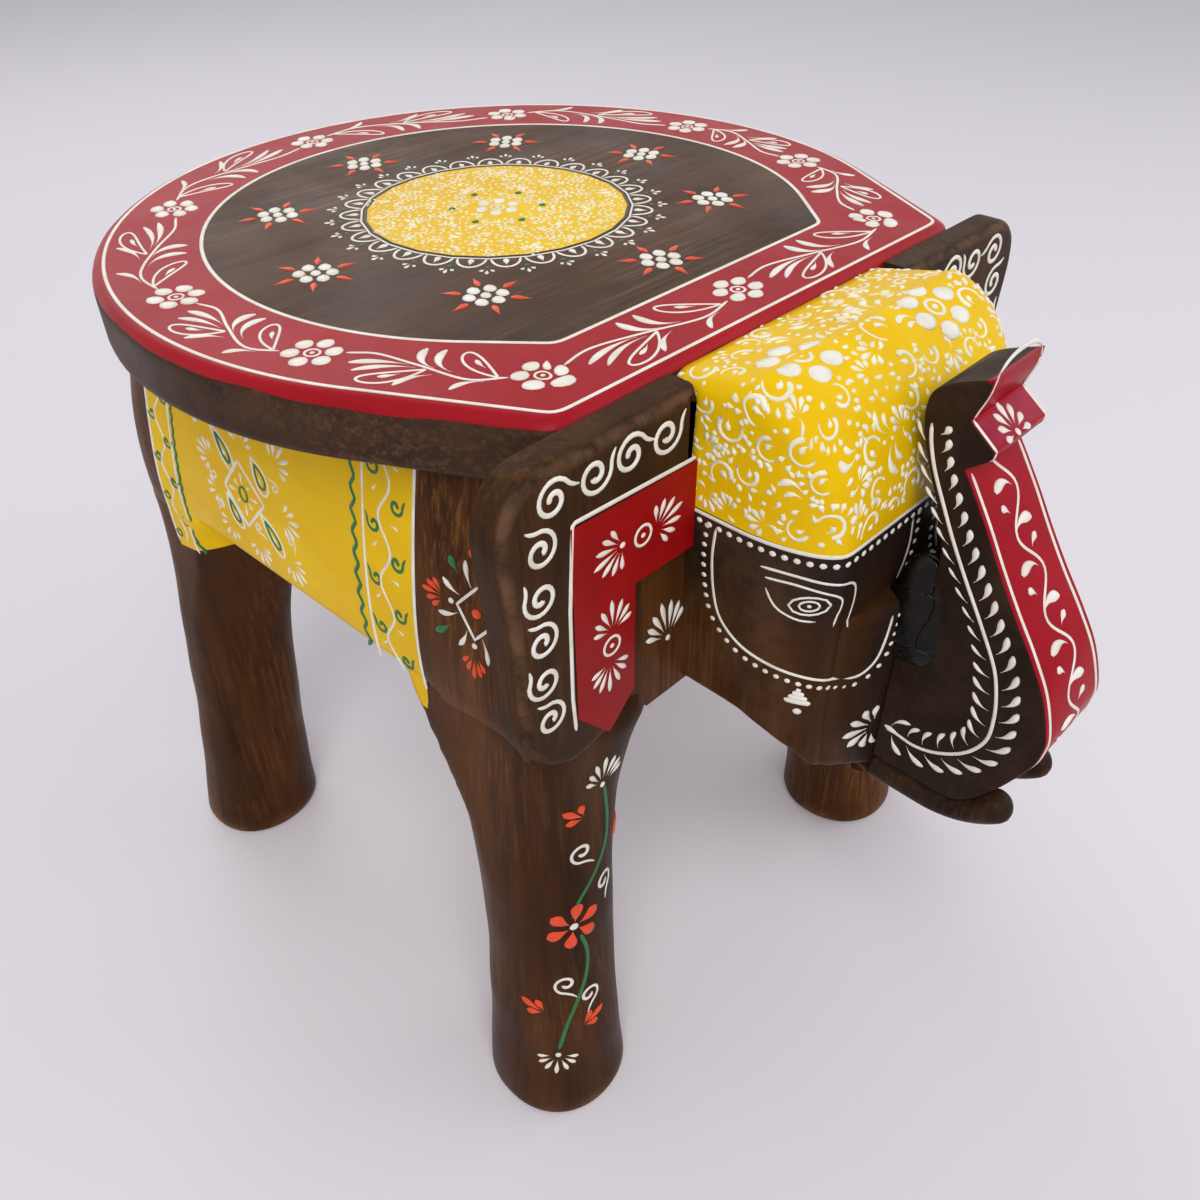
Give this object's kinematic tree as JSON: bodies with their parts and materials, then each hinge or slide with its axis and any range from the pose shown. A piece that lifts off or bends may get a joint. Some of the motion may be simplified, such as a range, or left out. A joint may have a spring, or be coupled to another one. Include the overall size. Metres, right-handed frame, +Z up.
{
  "type": "carved stool",
  "caption": "Low carved elephant stool: round-backed seat board on a block-built elephant body with legs, head, ears, trunk and tusks.",
  "frame": {"origin": "on the floor, under the middle of the whole stool's bounding box", "axes": "+Z up; the elephant faces -Y, so Y runs from the trunk to the rump; +X is the elephant's own left"},
  "size_m": [0.306, 0.407, 0.3358],
  "materials": {
    "seat_lacquer": "painted and lacquered hardwood, red with white and yellow ornament",
    "body_lacquer": "painted and lacquered hardwood, yellow",
    "leg_lacquer": "dark brown lacquered hardwood, semi-gloss",
    "ear_lacquer": "dark brown lacquered hardwood with red and white ornament",
    "head_lacquer": "dark brown lacquered hardwood with a yellow painted cap",
    "trunk_lacquer": "near-black lacquered hardwood, semi-gloss",
    "dowel_wood": "bare hardwood"
  },
  "bodies": {
    "root": {"belly_dowels": "dowel_wood", "belly_side_left": "body_lacquer", "belly_side_right": "body_lacquer", "body_core": "body_lacquer", "chest_dowels": "dowel_wood", "chest_plate": "leg_lacquer", "ear_dowels": "dowel_wood", "ear_left": "ear_lacquer", "ear_right": "ear_lacquer", "head_block": "head_lacquer", "head_dowels": "dowel_wood", "leg_dowels": "dowel_wood", "leg_front_left": "leg_lacquer", "leg_front_right": "leg_lacquer", "leg_rear_left": "leg_lacquer", "leg_rear_right": "leg_lacquer", "seat_board": "seat_lacquer", "seat_dowels": "dowel_wood", "trunk": "trunk_lacquer", "trunk_dowels": "dowel_wood", "tusk_left": "trunk_lacquer", "tusk_right": "trunk_lacquer"}
  },
  "joints": []
}
